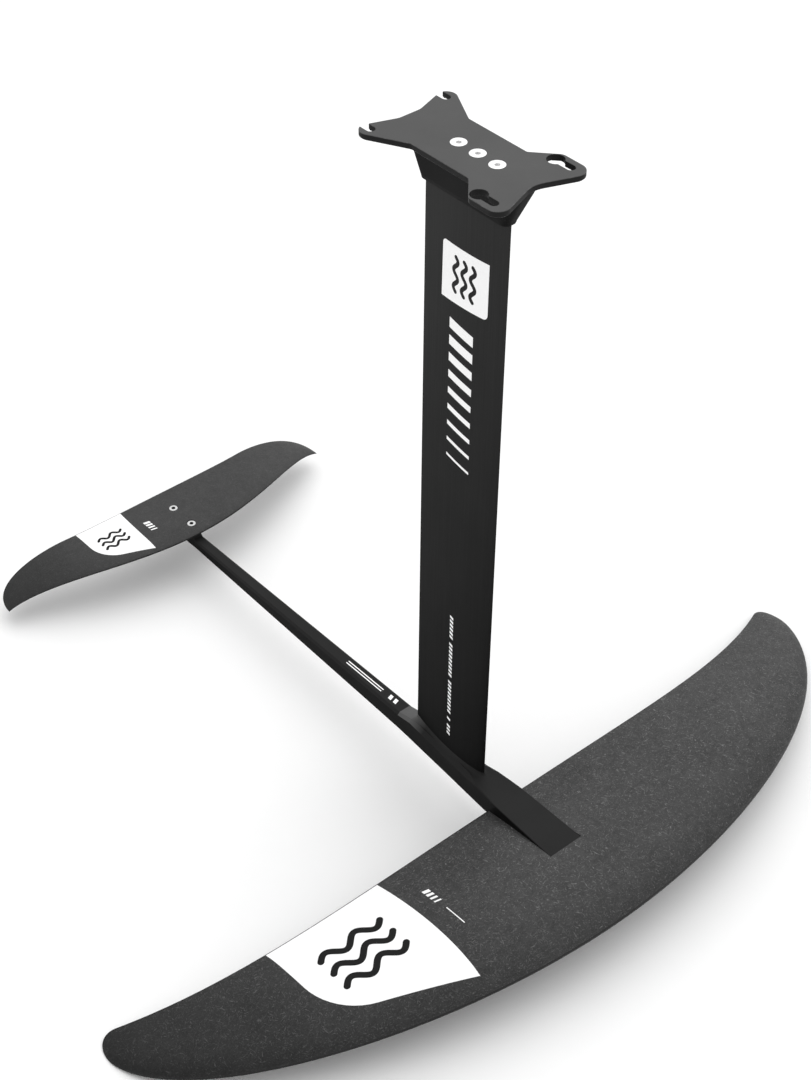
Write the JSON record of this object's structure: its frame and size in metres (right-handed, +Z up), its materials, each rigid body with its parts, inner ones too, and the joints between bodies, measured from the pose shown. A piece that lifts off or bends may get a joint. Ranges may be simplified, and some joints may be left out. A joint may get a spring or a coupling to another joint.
{
  "type": "hydrofoil",
  "caption": "Rigid water-sports hydrofoil: slotted board plate and flared head on a slim mast, bolted to a fuselage that carries a wide swept front wing and a small tail stabiliser.",
  "frame": {"origin": "middle of the plate's upper face, the one that lies against the board, midway between its four slot seats", "axes": "+Z up, out of the board face; -Y the direction of travel, towards the front wing; +X to port, across the span"},
  "size_m": [1.033, 0.9072, 0.8575],
  "materials": {
    "black_anodised": "satin",
    "mast_anodised": "satin",
    "fuselage_anodised": "satin",
    "bright_steel": "satin",
    "plain_steel": "satin",
    "dark_steel": "satin",
    "black_plastic": "matte",
    "carbon_upper": "satin",
    "carbon_lower": "satin",
    "carbon_stabiliser": "satin",
    "wing_core": "matte",
    "block_laminate": "matte"
  },
  "bodies": {
    "root": {"board_plate": "black_anodised", "plate_screws": "bright_steel", "mast_head": "black_anodised", "mast": "mast_anodised", "mast_cell_plugs": "black_plastic", "mast_top_inserts": "plain_steel", "mast_foot_inserts": "plain_steel", "mast_foot_screws": "bright_steel", "fuselage": "fuselage_anodised", "fuselage_front_inserts": "plain_steel", "fuselage_tail_inserts": "plain_steel", "front_wing_upper_skin": "carbon_upper", "front_wing_lower_skin": "carbon_lower", "front_wing_core": "wing_core", "front_wing_mount_block": "block_laminate", "front_wing_screw_cups": "dark_steel", "front_wing_screws": "bright_steel", "stabilizer": "carbon_stabiliser", "stabilizer_shim": "black_plastic", "stabilizer_screw_cups": "dark_steel", "stabilizer_screws": "bright_steel"}
  },
  "joints": []
}
